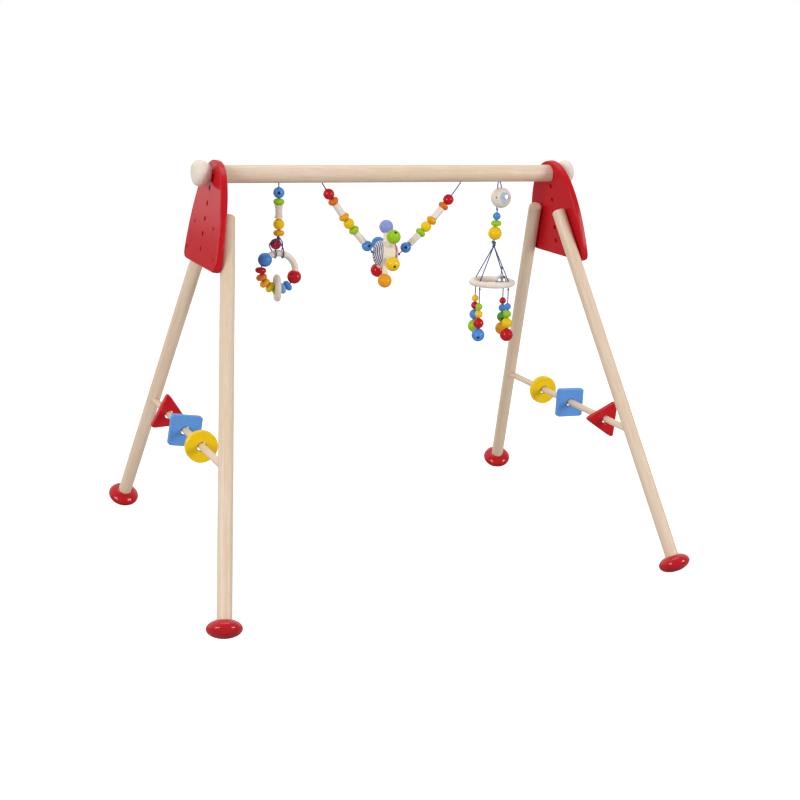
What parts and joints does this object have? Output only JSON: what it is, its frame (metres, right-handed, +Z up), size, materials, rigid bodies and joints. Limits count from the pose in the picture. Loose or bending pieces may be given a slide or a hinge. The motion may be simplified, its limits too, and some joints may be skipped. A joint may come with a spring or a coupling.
{
  "type": "activity play gym",
  "caption": "Free-standing wooden baby gym: a crossbar on two A-shaped leg frames, with a grasping toy, a bead garland with a spinner, a mobile with a bell, and shapes on side rungs.",
  "frame": {"origin": "on the floor, under the middle of the crossbar", "axes": "+X along the crossbar towards the mobile, +Y to the back, +Z up"},
  "size_m": [0.7206, 0.6236, 0.5716],
  "materials": {
    "natural_wood": "satin clear varnish",
    "red_lacquer": "high-gloss opaque lacquer",
    "blue_lacquer": "satin opaque lacquer",
    "yellow_lacquer": "satin opaque lacquer",
    "green_lacquer": "satin opaque lacquer",
    "amber_lacquer": "satin opaque lacquer",
    "orange_lacquer": "satin opaque lacquer",
    "lavender_lacquer": "satin opaque lacquer",
    "cord": "matte twisted string",
    "steel": "bright",
    "brass": "satin"
  },
  "bodies": {
    "frame": {"crossbar": "natural_wood", "plate_left": "red_lacquer", "plate_right": "red_lacquer", "leg_front_left": "natural_wood", "leg_back_left": "natural_wood", "leg_front_right": "natural_wood", "leg_back_right": "natural_wood", "foot_front_left": "red_lacquer", "foot_back_left": "red_lacquer", "foot_front_right": "red_lacquer", "foot_back_right": "red_lacquer", "screw_front_left_1": "steel", "screw_front_left_2": "steel", "screw_back_left_1": "steel", "screw_back_left_2": "steel", "screw_front_right_1": "steel", "screw_front_right_2": "steel", "screw_back_right_1": "steel", "screw_back_right_2": "steel", "rung_left": "natural_wood", "rung_right": "natural_wood", "bar_insert_left": "brass", "bar_insert_right": "brass"},
    "knob_left_body": {"knob_left": "natural_wood", "knob_bolt_left": "steel"},
    "knob_right_body": {"knob_right": "natural_wood", "knob_bolt_right": "steel"},
    "triangle_left_body": {"triangle_left": "red_lacquer"},
    "square_left_body": {"square_left": "blue_lacquer"},
    "disc_left_body": {"disc_left": "yellow_lacquer"},
    "disc_right_body": {"disc_right": "yellow_lacquer"},
    "square_right_body": {"square_right": "blue_lacquer"},
    "triangle_right_body": {"triangle_right": "red_lacquer"},
    "pendant": {"pendant_cord": "cord", "pendant_blue_bead": "blue_lacquer", "pendant_green_disc": "green_lacquer", "pendant_spool": "natural_wood", "pendant_yellow_bead": "yellow_lacquer", "pendant_amber_disc": "amber_lacquer"},
    "grasping_toy": {"grasp_sling": "cord", "grasp_red_bead": "red_lacquer", "grasp_ring": "natural_wood"},
    "loose_ring_body": {"loose_ring": "natural_wood"},
    "garland": {"garland_left": "natural_wood", "garland_right": "natural_wood"},
    "spinner_body": {"spinner": "natural_wood"},
    "mobile": {"mobile_cord": "cord", "rattle_ball": "natural_wood", "mobile_blue_bead": "blue_lacquer", "mobile_green_disc": "green_lacquer", "mobile_yellow_bead": "yellow_lacquer"},
    "mobile_hoop": {"mobile_sling": "cord", "mobile_ring": "natural_wood"},
    "dangle_front_left_body": {"dangle_front_left": "natural_wood"},
    "dangle_front_right_body": {"dangle_front_right": "natural_wood"},
    "dangle_back_right_body": {"dangle_back_right": "natural_wood"},
    "dangle_back_left_body": {"dangle_back_left": "natural_wood"},
    "bell_body": {"bell": "steel"}
  },
  "joints": [
    {"name": "knob_left_turn", "type": "hinge", "parent": "frame", "child": "knob_left_body", "pos_m": [-0.27, 0, 0.5534], "axis": [-1, 0, 0], "continuous": true},
    {"name": "knob_right_turn", "type": "hinge", "parent": "frame", "child": "knob_right_body", "pos_m": [0.27, 0, 0.5534], "axis": [1, 0, 0], "continuous": true},
    {"name": "triangle_left_spin", "type": "hinge", "parent": "frame", "child": "triangle_left_body", "pos_m": [-0.30712, 0.1015, 0.1924], "axis": [0, 1, 0], "continuous": true},
    {"name": "square_left_spin", "type": "hinge", "parent": "frame", "child": "square_left_body", "pos_m": [-0.30712, 0.0085, 0.1924], "axis": [0, 1, 0], "continuous": true},
    {"name": "disc_left_spin", "type": "hinge", "parent": "frame", "child": "disc_left_body", "pos_m": [-0.30712, -0.078, 0.1924], "axis": [0, 1, 0], "continuous": true},
    {"name": "disc_right_spin", "type": "hinge", "parent": "frame", "child": "disc_right_body", "pos_m": [0.30712, 0.076, 0.1924], "axis": [0, 1, 0], "continuous": true},
    {"name": "square_right_spin", "type": "hinge", "parent": "frame", "child": "square_right_body", "pos_m": [0.30712, -0.0125, 0.1924], "axis": [0, 1, 0], "continuous": true},
    {"name": "triangle_right_spin", "type": "hinge", "parent": "frame", "child": "triangle_right_body", "pos_m": [0.30712, -0.1215, 0.1924], "axis": [0, 1, 0], "continuous": true},
    {"name": "pendant_swing", "type": "hinge", "parent": "frame", "child": "pendant", "pos_m": [-0.1715, 0, 0.5395], "axis": [1, 0, 0], "range_deg": [-60, 60]},
    {"name": "grasping_toy_sway", "type": "hinge", "parent": "pendant", "child": "grasping_toy", "pos_m": [-0.1715, 0, 0.4633], "axis": [0, 1, 0], "range_deg": [-45, 45]},
    {"name": "loose_ring_spin", "type": "hinge", "parent": "grasping_toy", "child": "loose_ring_body", "pos_m": [-0.1741, 0, 0.3926], "axis": [0.9826, -0.1857, 0], "continuous": true},
    {"name": "garland_swing", "type": "hinge", "parent": "frame", "child": "garland", "pos_m": [0, 0, 0.5395], "axis": [1, 0, 0], "range_deg": [-60, 60]},
    {"name": "spinner_spin", "type": "hinge", "parent": "garland", "child": "spinner_body", "pos_m": [-0.0095, 0, 0.4366], "axis": [0.9915, -0.078, -0.1045], "continuous": true},
    {"name": "mobile_swing", "type": "hinge", "parent": "frame", "child": "mobile", "pos_m": [0.1715, 0, 0.5395], "axis": [1, 0, 0], "range_deg": [-60, 60]},
    {"name": "mobile_hoop_turn", "type": "hinge", "parent": "mobile", "child": "mobile_hoop", "pos_m": [0.1672, 0, 0.4489], "axis": [0, 0, 1], "range_deg": [-180, 180]},
    {"name": "dangle_front_left_swing", "type": "hinge", "parent": "mobile_hoop", "child": "dangle_front_left_body", "pos_m": [0.13924, -0.01389, 0.3836], "axis": [-0.454, 0.891, 0], "range_deg": [-8, 45]},
    {"name": "dangle_front_right_swing", "type": "hinge", "parent": "mobile_hoop", "child": "dangle_front_right_body", "pos_m": [0.18087, -0.02702, 0.3836], "axis": [-0.8829, -0.4695, 0], "range_deg": [-8, 45]},
    {"name": "dangle_back_right_swing", "type": "hinge", "parent": "mobile_hoop", "child": "dangle_back_right_body", "pos_m": [0.19352, 0.01437, 0.3836], "axis": [0.4695, -0.8829, 0], "range_deg": [-8, 45]},
    {"name": "dangle_back_left_swing", "type": "hinge", "parent": "mobile_hoop", "child": "dangle_back_left_body", "pos_m": [0.15213, 0.02702, 0.3836], "axis": [0.8829, 0.4695, 0], "range_deg": [-8, 45]},
    {"name": "bell_swing", "type": "hinge", "parent": "mobile_hoop", "child": "bell_body", "pos_m": [0.18, -0.0037, 0.4015], "axis": [1, 0, 0], "range_deg": [-15, 15]}
  ]
}
